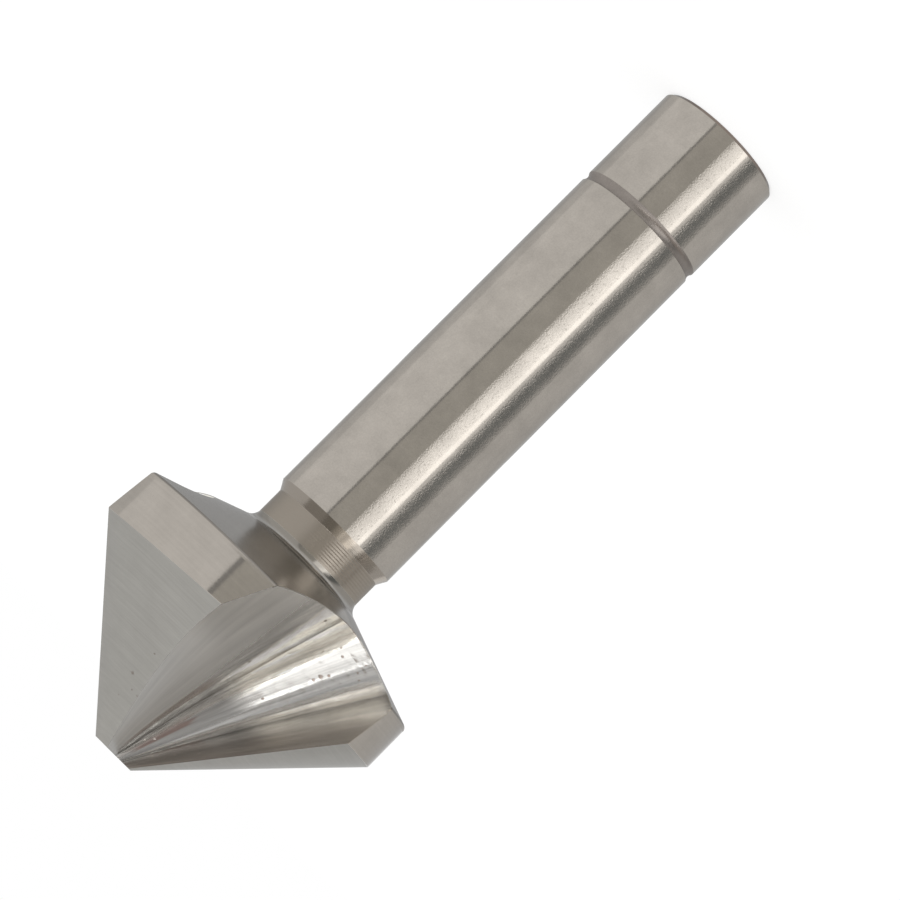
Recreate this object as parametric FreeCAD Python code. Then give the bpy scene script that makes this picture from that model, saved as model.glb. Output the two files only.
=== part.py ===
import FreeCAD, Part
import os
from math import cos, radians, sin, tan

from FreeCAD import Vector

os.makedirs("parts", exist_ok=True)

# A three-flute countersink bit, turned and ground from one bar of high-speed steel.
# All sizes are in millimetres and all angles in degrees.
# The tool stands on the end of its shank: the origin is the centre of that end face,
# +Z runs up the axis to the cutting tip, and +X points along one of the cutting edges.
# Several sizes are depths below the tip, because the head is ground from there.

# Whole tool
OVERALL_LENGTH = 71.0

# Cutting head
CUTTING_DIAMETER = 31.0
TIP_DIAMETER = 4.35
POINT_ANGLE = 89.0
RIM_WIDTH = 4.45
REAR_CORNER_RADIUS = 0.4
BACK_CONE_SLOPE = 20.3

# Neck, with its round corner under the head and its sloping shoulder up to the shank
NECK_DIAMETER = 11.0
NECK_END_DEPTH = 24.7
NECK_ROOT_RADIUS = 1.1
SHOULDER_ANGLE = 30.0

# Shank
SHANK_DIAMETER = 12.0
END_CHAMFER = 0.3
GROOVE_FROM_END = 9.88
GROOVE_WIDTH = 0.9
GROOVE_DEPTH = 0.17

# Lands: each one is ground about an axis set off towards its own cutting edge,
# so its surface falls away behind the edge and only the edge touches the work.
FLUTE_COUNT = 3
LAND_RELIEF_OFFSET = 0.9
LAND_GRIND_BEHIND_EDGE = 66.0

# Flutes: each has a floor, a round root and a face that leans under the cutting edge.
# The floor moves out from the axis along a large arc as it runs back from the tip.
# Towards the heel, the rear edge of the next land, it curves outwards by the heel lift,
# which grows with the depth raised to the power given here.
# Root radius, heel and reach are shares of the cutting cone's radius at the same depth,
# so the flute fans out evenly. The reach lies outside the metal.
WEB_AT_TIP = 0.8
FLOOR_ANGLE = 19.0
FLOOR_ARC_RADIUS = 150.0
RAKE_ANGLE = 15.0
ROOT_RADIUS_SHARE = 0.22
HEEL_LIFT_AT_RIM = 1.3
HEEL_LIFT_POWER = 4
HEEL_SHARE = 0.88
FLUTE_REACH_SHARE = 1.3
FLUTE_START_ABOVE_TIP = 1.0
FLUTE_SECTIONS = 6

# Sizes that follow from the ones above
cutting_radius = CUTTING_DIAMETER / 2
tip_radius = TIP_DIAMETER / 2
neck_radius = NECK_DIAMETER / 2
shank_radius = SHANK_DIAMETER / 2
cone_slope = tan(radians(POINT_ANGLE / 2))
rim_depth = (cutting_radius - tip_radius) / cone_slope
rear_depth = rim_depth + RIM_WIDTH
neck_depth = rear_depth + (cutting_radius - neck_radius) * tan(radians(BACK_CONE_SLOPE))
shoulder_depth = NECK_END_DEPTH + (shank_radius - neck_radius) / tan(radians(SHOULDER_ANGLE))
flute_pitch = 360.0 / FLUTE_COUNT


def height(depth):
    """Height above the shank's end face of a level that lies this deep below the tip."""
    return OVERALL_LENGTH - depth


def cone_radius(depth):
    """Radius of the cone that the cutting edges sweep, at a depth below the tip."""
    return tip_radius + depth * cone_slope


def rounded_outline(corners):
    """Closed wire in the XZ plane through (radius, height, corner radius) points."""
    points = [Vector(radius, 0, z) for radius, z, rounding in corners]
    roundings = [rounding for radius, z, rounding in corners]
    count = len(points)
    starts = []
    ends = []
    middles = []
    for i, point in enumerate(points):
        back = (points[i - 1] - point).normalize()
        forward = (points[(i + 1) % count] - point).normalize()
        inward = (back + forward).normalize()
        half_angle = back.getAngle(forward) / 2
        tangent_length = roundings[i] / tan(half_angle)
        starts.append(point + back * tangent_length)
        ends.append(point + forward * tangent_length)
        middles.append(point + inward * (roundings[i] / sin(half_angle) - roundings[i]))
    edges = []
    for i in range(count):
        if roundings[i] > 0:
            edges.append(Part.Arc(starts[i], middles[i], ends[i]).toShape())
        edges.append(Part.LineSegment(ends[i], starts[(i + 1) % count]).toShape())
    return Part.Wire(edges)


def turned_blank():
    """The bar as it leaves the lathe: shank, neck, back cone and a head that is still a drum."""
    outline = rounded_outline([
        (0, 0, 0),
        (shank_radius - END_CHAMFER, 0, 0),
        (shank_radius, END_CHAMFER, 0),
        (shank_radius, height(shoulder_depth), 0),
        (neck_radius, height(NECK_END_DEPTH), 0),
        (neck_radius, height(neck_depth), NECK_ROOT_RADIUS),
        (cutting_radius, height(rear_depth), REAR_CORNER_RADIUS),
        (cutting_radius, OVERALL_LENGTH, 0),
        (0, OVERALL_LENGTH, 0),
    ])
    return Part.Face(outline).revolve(Vector(), Vector(0, 0, 1), 360)


def shank_groove():
    """Ring that is cut away near the shank's end, a shallow groove with a round bottom."""
    half_width = GROOVE_WIDTH / 2
    round_radius = (half_width ** 2 + GROOVE_DEPTH ** 2) / (2 * GROOVE_DEPTH)
    ring_radius = shank_radius - GROOVE_DEPTH + round_radius
    return Part.makeTorus(ring_radius, round_radius, Vector(0, 0, GROOVE_FROM_END))


def land_grinding():
    """What is ground off around one land: all that lies outside its own offset cone."""
    base = height(rear_depth)
    sector = Part.makeCylinder(
        CUTTING_DIAMETER, rear_depth + tip_radius, Vector(0, 0, base), Vector(0, 0, 1), flute_pitch
    )
    sector.rotate(Vector(), Vector(0, 0, 1), -LAND_GRIND_BEHIND_EDGE)
    relieved_cone = Part.makeCone(
        cone_radius(rear_depth) - LAND_RELIEF_OFFSET,
        tip_radius - LAND_RELIEF_OFFSET,
        rear_depth,
        Vector(LAND_RELIEF_OFFSET, 0, base),
    )
    return sector.cut(relieved_cone)


def flute_section(depth):
    """Outline of the flute ahead of the +X cutting edge, at one depth below the tip."""
    edge_radius = cone_radius(depth)
    rake = radians(RAKE_ANGLE)
    root = ROOT_RADIUS_SHARE * edge_radius
    floor = WEB_AT_TIP / 2 + depth * tan(radians(FLOOR_ANGLE)) + depth ** 2 / (2 * FLOOR_ARC_RADIUS)
    centre_x = floor + root
    centre_y = root / cos(rake) - (edge_radius - centre_x) * tan(rake)
    reach = FLUTE_REACH_SHARE * edge_radius
    heel_lift = HEEL_LIFT_AT_RIM * (depth / rim_depth) ** HEEL_LIFT_POWER
    lift_at_reach = heel_lift * (FLUTE_REACH_SHARE / HEEL_SHARE) ** 3

    def at(x, y):
        return Vector(x, y, height(depth))

    def on_root(angle):
        return at(centre_x + root * cos(angle), centre_y + root * sin(angle))

    face_end = at(reach, (reach - edge_radius) * tan(rake))
    root_start = on_root(rake - radians(90))
    root_middle = on_root((rake - radians(270)) / 2)
    root_end = on_root(radians(-180))
    floor_third = at(floor, centre_y + (reach - centre_y) / 3)
    floor_two_thirds = at(floor, centre_y + (reach - centre_y) * 2 / 3)
    heel = at(floor + lift_at_reach, reach)
    outer_heel = at(heel.x + reach, reach)
    outer_corner = at(outer_heel.x, face_end.y)

    floor_curve = Part.BezierCurve()
    floor_curve.setPoles([root_end, floor_third, floor_two_thirds, heel])
    return Part.Wire([
        Part.LineSegment(face_end, root_start).toShape(),
        Part.Arc(root_start, root_middle, root_end).toShape(),
        floor_curve.toShape(),
        Part.LineSegment(heel, outer_heel).toShape(),
        Part.LineSegment(outer_heel, outer_corner).toShape(),
        Part.LineSegment(outer_corner, face_end).toShape(),
    ])


def flute():
    """The whole flute ahead of the +X cutting edge, from above the tip to behind the head."""
    step = (NECK_END_DEPTH + FLUTE_START_ABOVE_TIP) / (FLUTE_SECTIONS - 1)
    sections = [flute_section(i * step - FLUTE_START_ABOVE_TIP) for i in range(FLUTE_SECTIONS)]
    return Part.makeLoft(sections, True, False)


def around_axis(shape):
    """Copies of a shape at every flute's place around the axis."""
    copies = []
    for i in range(FLUTE_COUNT):
        copy = shape.copy()
        copy.rotate(Vector(), Vector(0, 0, 1), i * flute_pitch)
        copies.append(copy)
    return copies


def countersink_bit():
    """The finished tool: blank, groove, relieved lands, then the flutes."""
    tool = turned_blank().cut(shank_groove())
    tool = tool.cut(around_axis(land_grinding()))
    tool = tool.cut(around_axis(flute()))
    return tool.removeSplitter()


tool = countersink_bit()
solid = tool.Solids[0]
print("solids", len(tool.Solids), "valid", solid.isValid(), "faces", len(solid.Faces))
print("volume mm3", round(solid.Volume, 1))
solid.exportStep("parts/countersink_bit.step")
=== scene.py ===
# %% [markdown]
# # A countersink bit on a studio table
#
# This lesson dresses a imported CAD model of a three-flute countersink bit and photographs it.
# The tool stands on the end of its shank, with +Z up the axis to the cutting tip, and all
# lengths in the scene are metres. The real tool is one piece of steel and its CAD shape is
# already right, so nothing is modelled over it. The work here is the light, the camera and
# one ground-steel finish that changes from zone to zone.

from math import atan2, cos, degrees, pi, radians, sin, tan

import bpy
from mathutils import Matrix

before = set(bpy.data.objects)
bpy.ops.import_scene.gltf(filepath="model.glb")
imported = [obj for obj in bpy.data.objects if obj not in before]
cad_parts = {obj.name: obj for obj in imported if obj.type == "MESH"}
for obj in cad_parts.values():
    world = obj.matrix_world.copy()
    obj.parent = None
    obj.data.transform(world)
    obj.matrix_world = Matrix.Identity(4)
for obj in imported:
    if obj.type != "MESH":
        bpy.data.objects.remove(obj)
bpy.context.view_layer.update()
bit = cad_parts["countersink_bit"]

# %% [markdown]
# ## The sizes that the finish needs
#
# A finish that changes from zone to zone has to know where each zone lies. The borders could
# be painted by hand, but the tool's own drawing sizes give them exactly, from any side. They
# are in millimetres and degrees. Depths are measured down from the cutting tip, as on the
# grinding machine.

# %% Drawing sizes
OVERALL_LENGTH = 71.0
POINT_ANGLE = 89.0
CUTTING_RADIUS = 15.5
TIP_RADIUS = 2.175
RIM_WIDTH = 4.45
BACK_CONE_SLOPE = 20.3
NECK_RADIUS = 5.5
FILLET_END = 22.35
NECK_END_DEPTH = 24.7
SHANK_DEPTH = 25.57
END_CHAMFER = 0.3
GROOVE_FROM_END = 9.88
GROOVE_WIDTH = 0.9
LAND_OFFSET = 0.9

CONE_SLOPE = tan(radians(POINT_ANGLE / 2))
BACK_CONE_RISE = tan(radians(BACK_CONE_SLOPE))
RIM_DEPTH = (CUTTING_RADIUS - TIP_RADIUS) / CONE_SLOPE
REAR_DEPTH = RIM_DEPTH + RIM_WIDTH
NECK_DEPTH = REAR_DEPTH + (CUTTING_RADIUS - NECK_RADIUS) * BACK_CONE_RISE
GROOVE_DEPTH = OVERALL_LENGTH - GROOVE_FROM_END
print("rim from", round(RIM_DEPTH, 2), "to", round(REAR_DEPTH, 2), "mm below the tip")

# %% [markdown]
# ## The camera
#
# The tool is seen from the side with a long lens, a little from the tip's end, and the
# camera is rolled so that the axis runs from the lower left to the upper right. A short lens
# close by would make the head look larger than it is; a long lens far away keeps the
# proportions honest. The place and the turn are plain numbers, because they are what a
# photographer would note down.

# %% Place the camera
camera_data = bpy.data.cameras.new("studio_camera")
camera_data.sensor_width = 36.0
camera_data.lens = 151.82
camera_data.clip_start = 0.01
camera_data.clip_end = 20.0
camera = bpy.data.objects.new("studio_camera", camera_data)
bpy.context.scene.collection.objects.link(camera)
camera.location = (0.17881, 0.25248, 0.07180)
camera.rotation_euler = (radians(-80.242), radians(44.443), radians(-28.065))
bpy.context.scene.camera = camera
camera_azimuth = atan2(camera.location.y, camera.location.x)
print("the camera stands at", round(degrees(camera_azimuth), 1), "degrees round the tool")

# %% [markdown]
# ## The white room
#
# Bare steel has hardly any colour of its own: it shows its surroundings. The room is plain
# white, so that a patch of steel that faces it renders about as dark as its own colour is
# written. A world of strength 1 is also the white background that the camera sees.

# %% White surroundings
WHITE = (1.0, 1.0, 1.0)

world = bpy.data.worlds.new("white_room")
bpy.context.scene.world = world
world.use_nodes = True
room = world.node_tree.nodes["Background"]
room.inputs["Color"].default_value = (*WHITE, 1.0)
room.inputs["Strength"].default_value = 1.0
bpy.context.scene.view_settings.view_transform = "Standard"
print("room strength", room.inputs["Strength"].default_value)

# %% [markdown]
# ## The table
#
# A pale table top carries the tool and keeps its soft shadow. It is one large flat sheet,
# so that no edge of it shows. A sheet that only scatters light would look grey beside the
# room, so most of its white comes from a glow of its own. The steel doesn't mirror the table:
# the boards of the next cells reach far below it, and the shank shows them to its very end.

# %% Lay the table top
TABLE_SIZE = 6.0
TABLE_GREY = (0.28, 0.28, 0.28)
TABLE_GLOW = 0.76

bpy.ops.object.select_all(action="DESELECT")
bpy.ops.mesh.primitive_plane_add(size=TABLE_SIZE, location=(0.0, 0.0, 0.0))
table = bpy.context.object
table.name = "table_top"
table.visible_glossy = False

white_top = bpy.data.materials.new("white_table")
white_top.use_nodes = True
top_shader = white_top.node_tree.nodes["Principled BSDF"]
top_shader.inputs["Base Color"].default_value = (*TABLE_GREY, 1.0)
top_shader.inputs["Roughness"].default_value = 1.0
top_shader.inputs["Specular IOR Level"].default_value = 0.0
top_shader.inputs["Emission Color"].default_value = (*WHITE, 1.0)
top_shader.inputs["Emission Strength"].default_value = TABLE_GLOW
table.data.materials.append(white_top)
print("table top is", round(table.dimensions.x, 2), "m wide")

# %% [markdown]
# ## Glowing boards
#
# The bands on a round piece of steel are mirror images of what stands round it, so a
# photographer shapes them with boards and light boxes. Here both are sheets that glow at
# their own level: 0 for black, 1 for the white of the room and more for a lamp. The camera
# doesn't see them, and they throw no shadow.

# %% Make a sheet glow
def glowing(board, level, tint):
    """Gives a board its level, hides it from the camera and lets it throw no shadow."""
    paint = bpy.data.materials.new(board.name)
    paint.use_nodes = True
    paint.node_tree.nodes.clear()
    glow = paint.node_tree.nodes.new("ShaderNodeEmission")
    glow.inputs["Color"].default_value = (*tint, 1.0)
    glow.inputs["Strength"].default_value = level
    sheet = paint.node_tree.nodes.new("ShaderNodeOutputMaterial")
    paint.node_tree.links.new(glow.outputs["Emission"], sheet.inputs["Surface"])
    board.data.materials.append(paint)
    board.visible_camera = False
    board.visible_shadow = False
    print(board.name, "glows at", level)


# %% [markdown]
# ## Boards bent round the tool
#
# Long straight bands along a shank come from upright boards. Each board could be flat, but a
# sheet that is bent round the tool's axis keeps one distance, so its edges can be given as
# angles. It is made from a plane that is cut down to one upright edge and then spun about
# the axis. Angles are counted in degrees from the camera, towards its right.

# %% One bent board
BOARD_DISTANCE = 1.4
BOARD_FOOT = -2.0
BOARD_TOP = 0.2
FACE_ANGLE = 4.0


def bent_board(name, from_angle, to_angle, level, tint=WHITE, low=BOARD_FOOT, high=BOARD_TOP):
    """An upright sheet between two angles in degrees and two heights in metres."""
    start = camera_azimuth - radians(from_angle)
    start_x, start_y = BOARD_DISTANCE * cos(start), BOARD_DISTANCE * sin(start)
    bpy.ops.object.select_all(action="DESELECT")
    bpy.ops.mesh.primitive_plane_add(
        size=high - low,
        location=(start_x, start_y, (low + high) / 2),
        rotation=(pi / 2, 0.0, start),
    )
    board = bpy.context.object
    board.name = name
    bpy.ops.object.transform_apply(location=True, rotation=True, scale=True)
    far_side = [corner.co.xy.length > BOARD_DISTANCE for corner in board.data.vertices]
    for corner, far in zip(board.data.vertices, far_side):
        if far:
            corner.co.xy = start_x, start_y
    bpy.ops.object.mode_set(mode="EDIT")
    bpy.ops.mesh.select_mode(type="VERT")
    bpy.ops.mesh.select_all(action="DESELECT")
    bpy.ops.object.mode_set(mode="OBJECT")
    for corner, far in zip(board.data.vertices, far_side):
        corner.select = not far
    bpy.ops.object.mode_set(mode="EDIT")
    bpy.ops.mesh.delete(type="VERT")
    bpy.ops.mesh.select_all(action="SELECT")
    bpy.ops.mesh.spin(
        steps=max(2, round((to_angle - from_angle) / FACE_ANGLE)),
        angle=radians(to_angle - from_angle),
        center=(0.0, 0.0, 0.0),
        axis=(0.0, 0.0, 1.0),
    )
    bpy.ops.object.mode_set(mode="OBJECT")
    glowing(board, level, tint)
    span = round(to_angle - from_angle, 1)
    print("  it has", len(board.data.polygons), "faces and spans", span, "degrees")


# %% [markdown]
# ## Pale boards on the left
#
# The left side of the shank mirrors the white room. Two pale boards far round to the left
# turn its last few degrees slightly darker, so that the shank stands out against the
# background.

# %% Stand up the pale boards on the left
bent_board("pale_board_far_left", -165.0, -140.0, 0.74)
bent_board("pale_board_left", -140.0, -116.0, 0.85)

# %% [markdown]
# ## The grey board by the camera
#
# The middle of the shank looks straight back at the camera's side of the room, which is
# darker. A grey board stands there, warmed a little, with a narrow darker edge on its left
# that draws the thin dark line along the shank.

# %% Stand up the grey board by the camera
WARM_GREY = (1.0, 0.985, 0.94)

bent_board("dark_edge", -28.6, -25.0, 0.36)
bent_board("grey_board_by_camera", -25.0, 14.0, 0.63, WARM_GREY)

# %% [markdown]
# ## The strip light
#
# The bright band along the shank is a tall strip light to the right of the camera. It is
# brightest towards its right side and falls off quickly beyond that. A single board would
# give a flat white band, so it is built from steps of different levels.

# %% Stand up the strip light
bent_board("strip_light_near", 15.5, 34.0, 1.75)
bent_board("strip_light_far", 34.0, 45.0, 2.35)
bent_board("strip_light_edge", 45.0, 51.0, 1.05)
bent_board("grey_edge", 51.0, 56.0, 0.48)

# %% [markdown]
# ## The black board and what lies beyond it
#
# A black board beside the strip light gives the steel its contrast. Beyond it the room is
# pale again: a grey board softens the border, a pale one follows all the way round, and a
# darker one stands above that where the head looks higher up than the shank.

# %% Stand up the boards on the right
COOL_BLACK = (0.94, 1.0, 1.02)
HIGH_BOARD_TOP = 1.3

bent_board("black_board", 56.0, 73.0, 0.28, COOL_BLACK)
bent_board("grey_board_right", 73.0, 81.0, 0.52)
bent_board("pale_board_right", 81.0, 165.0, 0.79)
bent_board("high_board_right", 95.0, 140.0, 0.55, low=BOARD_TOP, high=HIGH_BOARD_TOP)

# %% [markdown]
# ## White cards and the board behind
#
# A flute is hollow, so its streaks of light come from small bright things rather than from
# wide boards. Two white cards near the camera, one above the other, give it a few. Behind
# the tool a grey board hangs below the table's height, and the back of the head mirrors it.

# %% Stand up the cards and the board behind
bent_board("white_card_low", -20.0, -6.0, 3.6, low=0.20, high=0.34)
bent_board("white_card_high", -8.0, 4.0, 3.5, low=0.50, high=0.73)
bent_board("board_behind", 165.0, 195.0, 0.58, high=-0.15)

# %% [markdown]
# ## A wall with a soft box
#
# The flutes look up past the strip light. There they see a dark wall, and above it a wide
# soft box whose straight lower edge draws the sharp end of the glare in each flute. A
# straight edge has to be flat, so these boards are plain upright rectangles on one plane.

# %% One flat board on the wall
WALL_ANGLE = 45.0
WALL_DISTANCE = 1.4


def wall_board(name, from_angle, to_angle, low, high, level, tint=WHITE):
    """A flat sheet on the wall, from one angle to another as seen from the tool."""
    left = WALL_DISTANCE * tan(radians(from_angle - WALL_ANGLE))
    right = WALL_DISTANCE * tan(radians(to_angle - WALL_ANGLE))
    facing = camera_azimuth - radians(WALL_ANGLE)
    middle = (left + right) / 2
    bpy.ops.object.select_all(action="DESELECT")
    bpy.ops.mesh.primitive_plane_add(
        size=1.0,
        location=(
            WALL_DISTANCE * cos(facing) + middle * sin(facing),
            WALL_DISTANCE * sin(facing) - middle * cos(facing),
            (low + high) / 2,
        ),
        rotation=(pi / 2, 0.0, facing + pi / 2),
    )
    board = bpy.context.object
    board.name = name
    board.scale = (right - left, high - low, 1.0)
    bpy.ops.object.transform_apply(location=True, rotation=True, scale=True)
    glowing(board, level, tint)
    print("  it is", round(right - left, 2), "m wide")


# %% [markdown]
# ## Hang the wall's boards
#
# The wall is a warm dark grey. The soft box over it gets brighter from left to right, as a
# lamp does that stands behind one side of its cloth.

# %% Hang the wall and the soft box
WALL_TINT = (1.0, 0.91, 0.84)
SOFT_BOX_FOOT = 1.02
SOFT_BOX_TOP = 2.5

wall_board("dark_wall", -32.0, 110.0, 0.0, SOFT_BOX_FOOT, 0.56, WALL_TINT)
wall_board("soft_box_left", -32.0, -3.0, SOFT_BOX_FOOT, SOFT_BOX_TOP, 1.15)
wall_board("soft_box_middle", -3.0, 16.0, SOFT_BOX_FOOT, SOFT_BOX_TOP, 1.5)
wall_board("soft_box_right", 16.0, 75.0, SOFT_BOX_FOOT, SOFT_BOX_TOP, 1.85)

# %% [markdown]
# ## Shader sums as Python expressions
#
# The finish is drawn with arithmetic on the place of each point, and that takes many Math
# nodes. Wiring them one by one hides what is being worked out. This small class wraps the
# output of a node, so that a Python expression such as `1 - mask` adds the node for it. One
# method makes any other node.

# %% A node output that does sums
class Signal:
    """An output of a shader node. Sums on it add nodes to the tree that is being built."""

    tree = None

    def __init__(self, output):
        self.output = output

    @classmethod
    def node(cls, kind, settings=None, inputs=None, output=0):
        """Any node: its settings are set first, then the values or links of its sockets."""
        made = cls.tree.nodes.new(kind)
        for name, value in (settings or {}).items():
            setattr(made, name, value)
        for key, value in (inputs or {}).items():
            if isinstance(value, Signal):
                cls.tree.links.new(value.output, made.inputs[key])
            else:
                made.inputs[key].default_value = value
        return cls(made.outputs[output])

    @classmethod
    def math(cls, operation, *values):
        """A Math node on signals and numbers."""
        return cls.node("ShaderNodeMath", {"operation": operation}, dict(enumerate(values)))

    def twin(self, output):
        """Another output of the same node."""
        return Signal(self.output.node.outputs[output])

    def __add__(self, other):
        return Signal.math("ADD", self, other)

    def __radd__(self, other):
        return Signal.math("ADD", other, self)

    def __sub__(self, other):
        return Signal.math("SUBTRACT", self, other)

    def __rsub__(self, other):
        return Signal.math("SUBTRACT", other, self)

    def __mul__(self, other):
        return Signal.math("MULTIPLY", self, other)

    def __rmul__(self, other):
        return Signal.math("MULTIPLY", other, self)

    def __truediv__(self, other):
        return Signal.math("DIVIDE", self, other)

    def __rtruediv__(self, other):
        return Signal.math("DIVIDE", other, self)


steel = bpy.data.materials.new("ground_steel")
steel.use_nodes = True
Signal.tree = steel.node_tree
print("the steel starts with", len(Signal.tree.nodes), "nodes")

# %% [markdown]
# ## Small tools for masks
#
# Almost every part of the finish begins with a mask, a value that is 1 on one zone and 0
# elsewhere. A hard border would look cut out and flicker, so each mask has a soft step. The
# Map Range node's smooth step does that in one node.

# %% Soft steps and bands
def rise(value, low, high):
    """0 below low and 1 above high, with a soft step between."""
    limits = {0: value, 1: low, 2: high}
    return Signal.node("ShaderNodeMapRange", {"interpolation_type": "SMOOTHSTEP"}, limits)


def band(value, low, high, soft):
    """1 between low and high, fading to 0 over a soft margin outside them."""
    return rise(value, low - soft, low) * (1 - rise(value, high, high + soft))


print("ready:", rise.__name__, "and", band.__name__)

# %% [markdown]
# ## Small tools for grain and colours
#
# Noise gives the steel its grain, and colours are blended with Mix nodes and scaled with
# Vector Math, because a Math node would turn a colour grey.

# %% Noise and mixing
def vector(a, b, c):
    """Three signals or numbers as one vector."""
    return Signal.node("ShaderNodeCombineXYZ", None, {0: a, 1: b, 2: c})


def grain(place, scale, detail=2.0, roughness=0.5):
    """Cloudy noise, from 0 to 1 and mostly near 0.5."""
    sockets = {"Vector": place, "Scale": scale, "Detail": detail, "Roughness": roughness}
    return Signal.node("ShaderNodeTexNoise", None, sockets)


def mix_colour(amount, first, second):
    """The first colour where the amount is 0, the second where it is 1."""
    first, second = [c if isinstance(c, Signal) else (*c, 1.0) for c in (first, second)]
    return Signal.node("ShaderNodeMix", {"data_type": "RGBA"}, {0: amount, 6: first, 7: second}, 2)


def mix_value(amount, first, second):
    """The first value where the amount is 0, the second where it is 1."""
    return Signal.node("ShaderNodeMix", None, {0: amount, 2: first, 3: second})


def scaled(colour, amount):
    """A colour or vector times an amount."""
    scaling = {"operation": "SCALE"}
    return Signal.node("ShaderNodeVectorMath", scaling, {0: colour, "Scale": amount})


print("ready:", [tool.__name__ for tool in (vector, grain, mix_colour, mix_value, scaled)])

# %% [markdown]
# ## Where a point lies on the tool
#
# Every zone is found from the point's own place in millimetres: its depth below the tip, its
# distance from the axis and its angle round it. Object coordinates give that place, and they
# stay with the tool when it is moved.

# %% Depth, radius and angle
MM_PER_METRE = 1000.0

place = scaled(Signal.node("ShaderNodeTexCoord", output="Object"), MM_PER_METRE)
x = Signal.node("ShaderNodeSeparateXYZ", None, {0: place})
y = x.twin(1)
depth = OVERALL_LENGTH - x.twin(2)
radius = Signal.math("SQRT", x * x + y * y)
turn = Signal.math("ARCTAN2", y, x)


def past_angle(start, end):
    """0 before the first angle round the tool and 1 after the second, in degrees."""
    return rise(turn, radians(start), radians(end))


def between_angles(start, end, soft):
    """1 between two angles round the tool, with soft margins, all in degrees."""
    return band(turn, radians(start), radians(end), radians(soft))


print("a point's place takes", len(Signal.tree.nodes), "nodes")

# %% [markdown]
# ## How far a point is from a land or from the back
#
# The tool repeats three times round, so the angle is folded into one third of a turn. Each
# land is ground about an axis of its own, set off towards its cutting edge. The two
# distances below are 0 on a land and on the back of the head, and less inside a flute,
# which tells the three apart.

# %% Distances from the land and the back
ONE_THIRD_TURN = 2 * pi / 3
LAND_START = radians(-66.0)
FLUTE_START = radians(-30.0)


def folded(start):
    """The angle round the axis, folded into the third of a turn that begins at start."""
    return Signal.math("FLOORED_MODULO", turn - start, ONE_THIRD_TURN) + start


land_turn = folded(LAND_START)
land_x = radius * Signal.math("COSINE", land_turn) - LAND_OFFSET
land_y = radius * Signal.math("SINE", land_turn)
land_radius = Signal.math("SQRT", land_x * land_x + land_y * land_y)
over_land = land_radius - (depth * CONE_SLOPE + (TIP_RADIUS - LAND_OFFSET))
over_back = depth - REAR_DEPTH - (CUTTING_RADIUS - radius) * BACK_CONE_RISE
print("with the distances it has", len(Signal.tree.nodes), "nodes")

# %% [markdown]
# ## The place across a flute
#
# A flute fans out from the tip, so a place in it is given as a share of the cone's radius:
# -1 at the cutting edge, about -0.5 in the root and 0.6 at the heel, where the next land
# begins. The heel's line bends as the flute gets deeper, so it is a short curve in the
# depth. A point between the two edges belongs to the flute and not to a land, however close
# to the land's cone it is.

# %% Shares across a flute
HEEL_AT_TIP = 0.6002
HEEL_LEAN = 0.0017
HEEL_BEND = 0.001046
LINE_WIDTH = 0.004

flute_turn = folded(FLUTE_START)
cone_radius = depth * CONE_SLOPE + TIP_RADIUS
across = Signal.math("SINE", flute_turn) - Signal.math("COSINE", flute_turn)
across_flute = radius * across / cone_radius
heel_line = HEEL_AT_TIP + HEEL_LEAN * depth - HEEL_BEND * depth * depth
past_edge = rise(flute_turn, -LINE_WIDTH, 0.0)
past_heel = rise(across_flute - heel_line, -LINE_WIDTH, LINE_WIDTH)
inside_edges = past_edge * (1 - past_heel)
print("with the flute it has", len(Signal.tree.nodes), "nodes")

# %% [markdown]
# ## Zones of the shank and the neck
#
# Each mask is 1 on its zone and 0 elsewhere. The shank, the shoulder, the neck and the
# groove follow each other along the axis, so their depths alone tell them apart. The head
# is all that lies before the neck.

# %% Masks along the axis
EDGE = 0.02

on_shank = rise(depth, SHANK_DEPTH - EDGE, SHANK_DEPTH + EDGE)
on_shoulder = band(depth, NECK_END_DEPTH, SHANK_DEPTH - EDGE, EDGE)
in_groove = band(depth, GROOVE_DEPTH - GROOVE_WIDTH / 2, GROOVE_DEPTH + GROOVE_WIDTH / 2, EDGE)
chamfer_start = OVERALL_LENGTH - END_CHAMFER
on_end = rise(depth, chamfer_start - EDGE, chamfer_start + 2 * EDGE)
on_neck = band(depth, FILLET_END, NECK_END_DEPTH, EDGE)
on_head = 1 - rise(depth, FILLET_END - EDGE, FILLET_END)
on_tip = 1 - rise(depth, EDGE, 2 * EDGE)
print("with the shank and the neck it has", len(Signal.tree.nodes), "nodes")

# %% [markdown]
# ## The rim and its rear corner
#
# The rim is the round outside of the head. At its rear it turns over a small round corner
# to the back of the head. The rim goes as far as that corner, and the corner's far half
# gets a darker tone of its own, which is painted shade. A piece of the flute lies at the
# same depth and radius, so the flute's share of the turn is left out.

# %% Masks of the rim
CORNER_DEPTHS = (REAR_DEPTH - 0.4, REAR_DEPTH - 0.3)
CORNER_RADII = (15.22, 15.26)
CORNER_END_DEPTHS = (REAR_DEPTH - 0.14, REAR_DEPTH - 0.04)
FLUTE_AT_RIM = (0.0, 0.9, 0.01)

on_corner = rise(depth, *CORNER_DEPTHS) * rise(radius, *CORNER_RADII)
on_corner = on_corner * (1 - band(flute_turn, *FLUTE_AT_RIM))
corner_end = on_head * on_corner * rise(depth, *CORNER_END_DEPTHS)
on_round = rise(radius, CUTTING_RADIUS - 2.5 * EDGE, CUTTING_RADIUS - 2 * EDGE)
on_rim = on_head * Signal.math("MAXIMUM", on_round, on_corner)
print("with the rim it has", len(Signal.tree.nodes), "nodes")

# %% [markdown]
# ## Lands, back and flutes
#
# What is left of the head is shared between the lands, the back of the head and the flutes.
# The back is a flat cone that runs into the neck over a round fillet. The fillet's two ends
# are masked too, because they mirror quite different things. The flute is all the rest.

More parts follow.
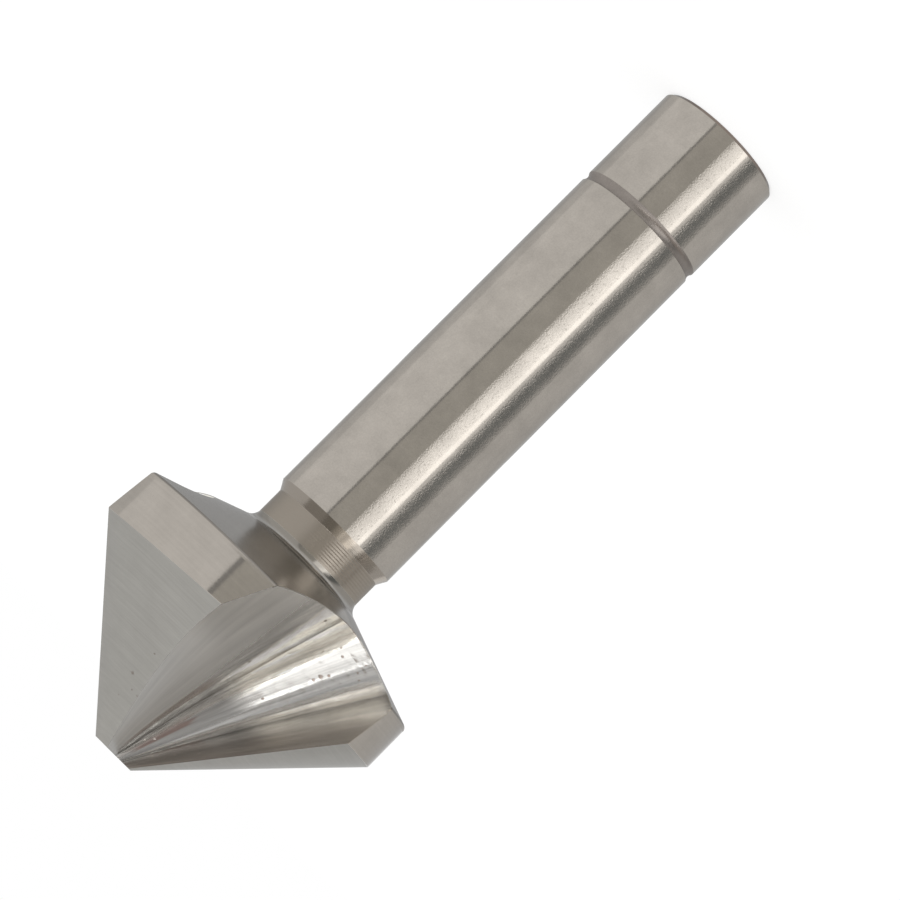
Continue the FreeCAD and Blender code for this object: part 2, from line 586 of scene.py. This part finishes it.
# %% Masks of the head
ON_SURFACE = (-5 * EDGE, -3 * EDGE)
FILLET_DEPTHS = (NECK_DEPTH - 0.9, NECK_DEPTH - 0.5)
FILLET_RADII = (6.4, 6.8)
FILLET_START_RADII = (5.9, 6.2)
FILLET_END_RADII = (5.6, 5.85)

under_rim = on_head * (1 - on_rim)
on_land = under_rim * rise(over_land, *ON_SURFACE) * (1 - inside_edges)
on_fillet = under_rim * rise(depth, *FILLET_DEPTHS) * (1 - rise(radius, *FILLET_RADII))
fillet_start = on_fillet * rise(radius, *FILLET_START_RADII)
fillet_end = on_fillet * (1 - rise(radius, *FILLET_END_RADII))
on_back = under_rim * Signal.math("MAXIMUM", on_fillet, rise(over_back, *ON_SURFACE))
in_flute = under_rim * (1 - on_land) * (1 - on_back) * (1 - on_tip)
print("all zones take", len(Signal.tree.nodes), "nodes")

# %% [markdown]
# ## Colour of each zone
#
# The shank and the rim are ground round and pale. The lands are ground on a coarser wheel
# and look greyer. The neck, the fillet, the shoulder and the groove stay as they were
# turned, darker and browner, and the end's chamfer is dark brown. The back of the head gets a
# brighter colour than it shows, because it mirrors the neck, and a second reflection darkens
# it again. The fillet gets painted shade over all of it and painted light where it starts
# from the back of the head, and the far half of the rim's rear corner gets painted shade.

# %% Plain colours by zone
ROUND_STEEL = (0.415, 0.383, 0.343)
LAND_STEEL = (0.335, 0.325, 0.302)
BACK_STEEL = (0.47, 0.455, 0.43)
FILLET_STEEL = (0.30, 0.28, 0.25)
# The colour of the rim's rear corner is painted shade.
CORNER_PAINTED_SHADE = (0.24, 0.222, 0.20)
NECK_STEEL = (0.315, 0.280, 0.238)
SHOULDER_STEEL = (0.34, 0.305, 0.265)
GROOVE_STEEL = (0.27, 0.242, 0.22)
END_STEEL = (0.215, 0.175, 0.15)
FILLET_PAINTED_SHADE = -0.15
FILLET_START_PAINTED_LIGHT = 0.55

colour = mix_colour(on_land + on_tip, ROUND_STEEL, LAND_STEEL)
colour = mix_colour(on_back, colour, BACK_STEEL)
# Painted shade darkens the whole fillet, and painted light brightens its start.
colour = scaled(colour, 1 + FILLET_PAINTED_SHADE * on_fillet + FILLET_START_PAINTED_LIGHT * fillet_start)
for zone, zone_steel in (
    (fillet_end, FILLET_STEEL),
    (corner_end, CORNER_PAINTED_SHADE),
    (on_neck, NECK_STEEL),
    (on_shoulder, SHOULDER_STEEL),
    (in_groove, GROOVE_STEEL),
    (on_end, END_STEEL),
):
    colour = mix_colour(zone, colour, zone_steel)
print("with the plain colours it has", len(Signal.tree.nodes), "nodes")

# %% [markdown]
# ## Grinding lines and mottle
#
# A round tool is ground while it turns, so its scratches run round it: they are long round
# the axis and narrow along it. Noise does that when the angle is fed in as a small circle
# and the depth is stretched. The same trick with other scales gives the fine mottle that
# breaks up the edges of the bands in the shank.

# %% Grain that goes round the axis
circle_x = x / radius
circle_y = y / radius


def ring_grain(round_scale, depth_scale, detail, roughness=0.5):
    """Noise with one scale round the axis and another one, per millimetre, along it."""
    spot = vector(circle_x * round_scale, circle_y * round_scale, depth * depth_scale)
    return grain(spot, 1.0, detail, roughness)


round_lines = ring_grain(1.6, 4.5, 3.0, 0.6)
fine_lines = ring_grain(4.0, 13.0, 1.0)
land_lines = ring_grain(2.5, 12.0, 3.0, 0.7)
mottle = ring_grain(34.0, 7.0, 3.0, 0.6)
specks = rise(ring_grain(28.0, 4.6, 2.0, 0.7), 0.58, 0.66)
print("with the lines it has", len(Signal.tree.nodes), "nodes")

# %% [markdown]
# ## Clouds, blotches and jaw marks
#
# Handling leaves wide clouds and smaller blotches on steel. The jaws of a chuck press on
# the shank along straight strips and leave it rougher there. Those strips are two bands of
# angles, and elsewhere the shank keeps only a trace of the same mottle.

# %% Wear on the shank
CLOUD_SCALE = 0.16
BLOTCH_SCALE = 0.42
FREE_OF_JAWS = 0.12

clouds = grain(place, CLOUD_SCALE)
blotches = grain(place, BLOTCH_SCALE, 4.0, 0.65)
jaw_marks = between_angles(16.0, 27.0, 3.44) + between_angles(37.0, 48.0, 1.72)
gripped = FREE_OF_JAWS + (1 - FREE_OF_JAWS) * jaw_marks
print("with the wear it has", len(Signal.tree.nodes), "nodes")

# %% [markdown]
# ## Streaks along the flutes
#
# The wheel that grinds a flute leaves streaks that fan out from the tip. They follow lines
# of constant share across the flute, and bend a little where the root widens. Two layers of
# stretched noise give broad and fine streaks, different in each of the three flutes.

# %% Streaks
STREAK_BEND = 0.0125
STRAIGHT_DEPTH = 10.0

streak_bend = STREAK_BEND * (depth - STRAIGHT_DEPTH) * rise(across_flute, -0.7, -0.4)
streak_line = across_flute + streak_bend
third = Signal.math("FLOOR", (turn - FLUTE_START) / ONE_THIRD_TURN)


def streak_grain(across_scale, depth_scale, shift, roughness):
    """Noise that is fine across the flute and long down it, shifted from flute to flute."""
    spot = vector(streak_line * across_scale, depth * depth_scale, third * shift)
    return grain(spot, 1.0, 2.0, roughness)


broad_streaks = streak_grain(14.0, 0.10, 7.3, 0.5)
fine_streaks = streak_grain(55.0, 0.16, 3.1, 0.6)
print("with the streaks it has", len(Signal.tree.nodes), "nodes")

# %% [markdown]
# ## Specks and pits
#
# A used tool has a few rust specks in its flutes, small pits in a land and pale grains near
# the tip. Noise would scatter them evenly, and real ones come in loose groups. So each is a
# small ball round a point on the surface, with an edge that noise makes ragged.

# %% Round marks with ragged edges
RAGGEDNESS = 0.26
RAGGED_SCALE = 7.0
INNER_SHARE = 0.6
OUTER_SHARE = 1.2

ragged_edge = RAGGEDNESS * (grain(place, RAGGED_SCALE) - 0.5)


def spots(marks):
    """1 inside any of the round marks, each given as x, y, z and radius in millimetres."""
    found = 0.0
    for mark_x, mark_y, mark_z, size in marks:
        ends = {0: place, 1: (mark_x, mark_y, mark_z)}
        away = Signal.node("ShaderNodeVectorMath", {"operation": "DISTANCE"}, ends, 1)
        outside = rise(away + ragged_edge, INNER_SHARE * size, OUTER_SHARE * size)
        found = Signal.math("MAXIMUM", 1 - outside, found)
    return found


rust_specks = spots([
    (8.43, -1.05, 54.98, 0.19), (8.16, -1.06, 55.54, 0.13), (8.84, -1.17, 54.47, 0.12),
    (7.94, 0.43, 53.44, 0.10), (8.68, 0.20, 52.26, 0.09), (8.98, -0.47, 52.64, 0.13),
    (10.38, -1.54, 52.69, 0.09), (10.54, -1.40, 51.86, 0.08), (10.84, -1.77, 53.10, 0.08),
    (12.75, -1.74, 53.62, 0.09), (6.06, -0.87, 59.46, 0.12), (5.35, 3.09, 58.22, 0.11),
    (8.27, 3.80, 51.76, 0.13),
])
dark_pits = spots([
    (1.05, 7.36, 65.42, 0.17), (0.28, 5.53, 67.40, 0.08), (1.36, 6.26, 66.41, 0.08),
    (1.93, 5.98, 66.47, 0.08), (2.58, 9.18, 63.19, 0.09),
])
pale_specks = spots([
    (1.36, 0.11, 68.43, 0.12), (1.78, -0.20, 67.81, 0.09), (2.09, 0.35, 66.40, 0.08),
    (5.81, -0.29, 66.21, 0.10), (4.17, -0.36, 67.61, 0.09), (4.31, -0.67, 66.30, 0.08),
    (5.48, 7.95, 58.28, 0.08),
])
print("with the specks it has", len(Signal.tree.nodes), "nodes")

# %% [markdown]
# ## Parts of a flute near the tip
#
# Near the tip the root is narrow, and there it is darker and duller, with a brown patch
# beside it and a darker, slightly rougher floor. These parts end raggedly, so the depth that
# bounds them is shaken by noise. A pair of numbers is the start and end of one soft step, and
# a triple is a band with its softness. Places across a flute are shares, and depths are
# millimetres.

# %% Masks near the tip
NEAR_TIP = (8.5, 12.5)
DULL_ROOT = (-0.54, -0.38, 0.05)
FLOOR_NEAR_TIP = (-0.34, -0.14, 0.04)
BROWN_START = (-0.45, -0.42)
BROWN_END = (-0.40, -0.27)
BROWN_DEPTHS = (1.8, 5.8, 1.2)
STREAK_DEPTHS = (2.5, 8.5, 2.5)
STREAK_PLACE = (-0.13, -0.08, 0.03)
SHAKEN_BY = 3.0

shake = grain(vector(across_flute * 30.0, depth * 0.3, third), 1.0) - 0.5
ragged_depth = depth + SHAKEN_BY * shake
past_tip = rise(ragged_depth, *NEAR_TIP)
near_tip = 1 - past_tip
# Near the tip the root and the floor beside it are darker.
dull_root = near_tip * band(across_flute, *DULL_ROOT)
floor_near_tip = near_tip * band(across_flute, *FLOOR_NEAR_TIP)
brown_patch = rise(across_flute, *BROWN_START) * (1 - rise(across_flute, *BROWN_END))
brown_patch = brown_patch * band(ragged_depth, *BROWN_DEPTHS)
dark_streak = band(streak_line, *STREAK_PLACE) * band(depth, *STREAK_DEPTHS)
print("with the flute's tip it has", len(Signal.tree.nodes), "nodes")

# %% [markdown]
# ## Parts of a flute further down
#
# The rake face lies under the cutting edge, and painted shade darkens it, most in its middle
# and at its rear. The root has a darker line along its edge. Past the middle of its length
# the floor beside the root gets a painted glare that widens the soft box's highlight there.
# The floor ends in a painted highlight, a brighter line where it meets the heel side, which
# is the flute's other wall.

# %% Masks further down
RAKE_END = (-0.72, -0.66)
RAKE_MIDDLE_DEPTHS = (9.0, 13.0, 3.0)
RAKE_REAR_DEPTHS = (13.0, 16.0)
ROOT_EDGE = (-0.66, -0.57, 0.03)
PAINTED_GLARE_PLACE = (-0.40, -0.17, 0.04)
ABOVE_FLOOR = (-0.16, -0.10, 0.05)
ABOVE_FLOOR_DEPTHS = (4.0, 9.0)
HEEL_START = (-0.12, 0.0)
HEEL_END_DEPTHS = (8.0, 12.0)

on_rake = 1 - rise(across_flute, *RAKE_END)
# Painted shade on the rake face, strongest in its middle and at its rear.
rake_painted_shade = 0.32 + band(depth, *RAKE_MIDDLE_DEPTHS) + 0.55 * rise(depth, *RAKE_REAR_DEPTHS)
rake_painted_shade = on_rake * rake_painted_shade
root_edge = band(across_flute, *ROOT_EDGE)
# A painted glare on the floor, and a painted highlight along the floor's edge.
floor_painted_glare = past_tip * band(across_flute, *PAINTED_GLARE_PLACE)
floor_edge_painted_highlight = band(across_flute, *ABOVE_FLOOR) * rise(depth, *ABOVE_FLOOR_DEPTHS)
heel_side = rise(across_flute, *HEEL_START)
# The heel side further down gets painted light.
heel_painted_light = heel_side * rise(depth, *HEEL_END_DEPTHS)
print("with all its parts it has", len(Signal.tree.nodes), "nodes")

# %% [markdown]
# ## Tone and colour inside a flute
#
# A flute is the brightest steel on the tool, because it sees itself, and every second
# reflection darkens it again. Its parts change that tone by a share each: the heel side gets
# painted light, more of it further down, the floor gets a painted glare and a painted
# highlight at its edge, and the rake gets painted shade. The root and the floor near the tip
# are darker. Heat colours the patch and the streak near the tip.

# %% Paint the flutes
FLUTE_STEEL = (0.53, 0.52, 0.50)
PAINTED_GLARE_STEEL = (0.55, 0.535, 0.49)
RAKE_STEEL = (0.50, 0.48, 0.455)
BROWN_STEEL = (0.42, 0.32, 0.285)
STREAK_STEEL = (0.42, 0.34, 0.29)

# Painted light on the heel side, more of it further down.
flute_tone = 1 + 0.21 * heel_side + 0.34 * heel_painted_light
for part, change in (
    (dull_root, -0.56),
    (root_edge, -0.30),
    (floor_edge_painted_highlight, 0.45),
    (floor_near_tip, -0.30),
    (floor_painted_glare, 0.75),
    (rake_painted_shade, -0.30),
    (dark_streak, -0.25),
):
    flute_tone = flute_tone * (1 + change * part)

# The painted glare on the floor also gets a warmer colour.
flute_colour = mix_colour(floor_painted_glare, FLUTE_STEEL, PAINTED_GLARE_STEEL)
flute_colour = mix_colour(on_rake, flute_colour, RAKE_STEEL)
flute_colour = mix_colour(0.95 * brown_patch, flute_colour, BROWN_STEEL)
flute_colour = mix_colour(0.5 * dark_streak, flute_colour, STREAK_STEEL)
colour = mix_colour(in_flute, colour, scaled(flute_colour, flute_tone))
print("with the painted flutes it has", len(Signal.tree.nodes), "nodes")

# %% [markdown]
# ## Grain in the tone
#
# The lines, the mottle and the blotches make a zone a little lighter and darker. The
# amounts are shares of its tone. The streaks are strongest in the root and on the floor,
# and grow with the depth, because chips rub the narrow tip smooth.

# %% Lighter and darker with the grain
ROOT_AND_FLOOR = (-0.66, -0.10, 0.08)
STREAKED_DEPTHS = (3.0, 12.0)

tone = 1 + 0.10 * (clouds - 0.5)
for pattern, amount in (
    (round_lines, 0.14 * (on_land + on_rim + 0.4 * on_shank + on_back)),
    (land_lines, 0.28 * on_land),
    (mottle, 0.24 * (on_shank + 0.3 * on_rim + 0.5 * on_back)),
    (blotches, 0.45 * (on_shank + 0.5 * on_rim + 0.3 * on_land)),
    (broad_streaks, 0.35 * in_flute * heel_side),
):
    tone = tone * (1 + amount * (pattern - 0.5))
tone = tone * (1 - 0.10 * specks * gripped * on_shank)

root_and_floor = band(across_flute, *ROOT_AND_FLOOR)
streakiness = root_and_floor * (0.24 + 0.61 * rise(depth, *STREAKED_DEPTHS))
streakiness = in_flute * (0.08 + 0.60 * on_rake + streakiness)
streaks = 0.9 * (broad_streaks - 0.5) + 0.7 * (fine_streaks - 0.5)
tone = tone * (1 + streakiness * streaks)
print("with the grain it has", len(Signal.tree.nodes), "nodes")

# %% [markdown]
# ## Painted highlights and shade on the turned parts
#
# The turned parts get painted light: the neck, the shoulder, the back of the head and the
# fillet each get painted highlights on their bright sides and painted shade on their dark
# sides, given as angles round the tool in degrees.

# %% Painted highlights and shade on the turned parts
# A painted highlight on one side of the neck, with painted shade elsewhere.
neck_painted_light = 0.40 * between_angles(20.0, 28.0, 6.0) + 0.16 * (1 - past_angle(10.0, 26.0))
neck_painted_light = neck_painted_light - 0.08
tone = tone * (1 + neck_painted_light * on_neck)

# Painted highlights on the shoulder, with painted shade on its far side.
shoulder_painted_light = 0.45 * between_angles(37.0, 40.0, 4.0) + 0.50 * between_angles(49.0, 54.0, 4.0)
shoulder_painted_light = shoulder_painted_light + 0.45 * (1 - past_angle(17.0, 23.0))
shoulder_painted_light = shoulder_painted_light - 0.15 * past_angle(84.0, 94.0)
tone = tone * (1 + shoulder_painted_light * on_shoulder)

# Painted light on the back of the head, with a painted highlight near the neck.
highlight_near_neck = between_angles(12.0, 34.0, 6.0) * rise(depth, 20.2, 20.8)
back_painted_light = 0.12 * (1 - past_angle(70.0, 88.0)) + 0.30 * between_angles(34.0, 49.0, 6.0)
back_painted_light = back_painted_light + 0.30 * highlight_near_neck
inner_back = on_back * rise(depth, 18.6, 19.6) * (1 - on_fillet)
tone = tone * (1 + back_painted_light * inner_back)
# Painted shade on one side of the fillet's end.
tone = tone * (1 - 0.15 * fillet_end * past_angle(54.0, 70.0))
print("with its sides it has", len(Signal.tree.nodes), "nodes")

# %% [markdown]
# ## Specks on top
#
# Rust and dust lie on the steel, so they are mixed in last, over the tone of the grain.

# %% Finish the colour
RUST = (0.17, 0.11, 0.08)
PALE_DUST = (0.72, 0.70, 0.66)

tone = tone * (1 - 0.2 * dark_pits)
colour = scaled(colour, tone)
colour = mix_colour(0.7 * rust_specks + 0.3 * dark_pits, colour, RUST)
colour = mix_colour(0.7 * pale_specks, colour, PALE_DUST)
print("the finished colour takes", len(Signal.tree.nodes), "nodes")

# %% [markdown]
# ## Roughness
#
# Roughness says how blurred a mirror image is. The ground shank is the smoothest and the
# turned neck and groove are the roughest. The jaw marks, the dull root and the heel side
# blur a little more than what lies round them.

# %% Roughness by zone
SHANK_ROUGHNESS = 0.09
LAND_ROUGHNESS = 0.30
FLUTE_ROUGHNESS = 0.14
BACK_ROUGHNESS = 0.22
CORNER_ROUGHNESS = 0.25
NECK_ROUGHNESS = 0.33
SHOULDER_ROUGHNESS = 0.18
GROOVE_ROUGHNESS = 0.36

flute_roughness = FLUTE_ROUGHNESS + 0.16 * root_and_floor * (fine_streaks - 0.5)
flute_roughness = flute_roughness + 0.09 * on_rake + 0.16 * heel_side
flute_roughness = flute_roughness + 0.26 * dull_root + 0.08 * floor_near_tip

roughness = mix_value(on_land, SHANK_ROUGHNESS, LAND_ROUGHNESS)
roughness = roughness + (0.16 * specks + 0.06) * gripped * on_shank
for zone, zone_roughness in (
    (in_flute, flute_roughness),
    (on_back, BACK_ROUGHNESS - 0.06 * on_fillet),
    (on_head * on_corner, CORNER_ROUGHNESS),
    (on_neck, NECK_ROUGHNESS),
    (on_shoulder, SHOULDER_ROUGHNESS),
    (in_groove, GROOVE_ROUGHNESS),
):
    roughness = mix_value(zone, roughness, zone_roughness)
print("with the roughness it has", len(Signal.tree.nodes), "nodes")

# %% [markdown]
# ## Relief
#
# The lathe's tool left fine rings round the neck, clearest on one side. They, the mottle,
# the pits and the streaks are only microns high, far too fine for the mesh, so a Bump node
# tilts the surface instead. Heights are in millimetres, and its distance turns them into
# metres.

# %% Relief in millimetres
RING_PITCH = 0.25
RING_HEIGHT = 0.007
RING_DEPTHS = (22.75, 24.55, 0.3)
MOTTLE_HEIGHT = 0.018
LAND_LINE_HEIGHT = 0.0012
NECK_LINE_HEIGHT = 0.006
SHOULDER_LINE_HEIGHT = 0.003
PIT_DEPTH = 0.02
RUST_DEPTH = 0.006
FINE_STREAK_HEIGHT = 0.006
BROAD_STREAK_HEIGHT = 0.008

rings = Signal.math("SINE", depth * (2 * pi / RING_PITCH))
rings = rings * band(depth, *RING_DEPTHS) * on_neck * (1 - 0.85 * past_angle(46.0, 56.0))
relief = RING_HEIGHT * rings
relief = relief + MOTTLE_HEIGHT * (mottle - 0.5) * (on_shank * gripped + 0.1 * on_rim)
line_height = LAND_LINE_HEIGHT * on_land + NECK_LINE_HEIGHT * on_neck
line_height = line_height + SHOULDER_LINE_HEIGHT * on_shoulder
relief = relief + fine_lines * line_height
relief = relief - PIT_DEPTH * dark_pits - RUST_DEPTH * rust_specks

streak_height = FINE_STREAK_HEIGHT * fine_streaks + BROAD_STREAK_HEIGHT * broad_streaks
fading = rise(depth, -1.0, 12.0) * (1 - 0.5 * rise(depth, 13.0, 17.0))
relief = relief + streakiness * fading * streak_height
heights = {"Strength": 1.0, "Distance": 1 / MM_PER_METRE, "Height": relief}
bump = Signal.node("ShaderNodeBump", None, heights)
print("with the relief it has", len(Signal.tree.nodes), "nodes")

# %% [markdown]
# ## Put the steel on the tool
#
# The finish now goes to the shader. It is a full metal, and its edge tint is turned down a
# little, because worn steel never mirrors quite white, even at a flat angle. The tool's own
# mesh is left alone, and only its material is exchanged.

# %% Give the tool its finish
EDGE_TINT = (0.72, 0.72, 0.72)

steel_shader = steel.node_tree.nodes["Principled BSDF"]
steel_shader.inputs["Metallic"].default_value = 1.0
steel_shader.inputs["Specular Tint"].default_value = (*EDGE_TINT, 1.0)
for signal, socket in ((colour, "Base Color"), (roughness, "Roughness"), (bump, "Normal")):
    steel.node_tree.links.new(signal.output, steel_shader.inputs[socket])
bit.data.materials.clear()
bit.data.materials.append(steel)
print("ground steel has", len(steel.node_tree.nodes), "nodes")
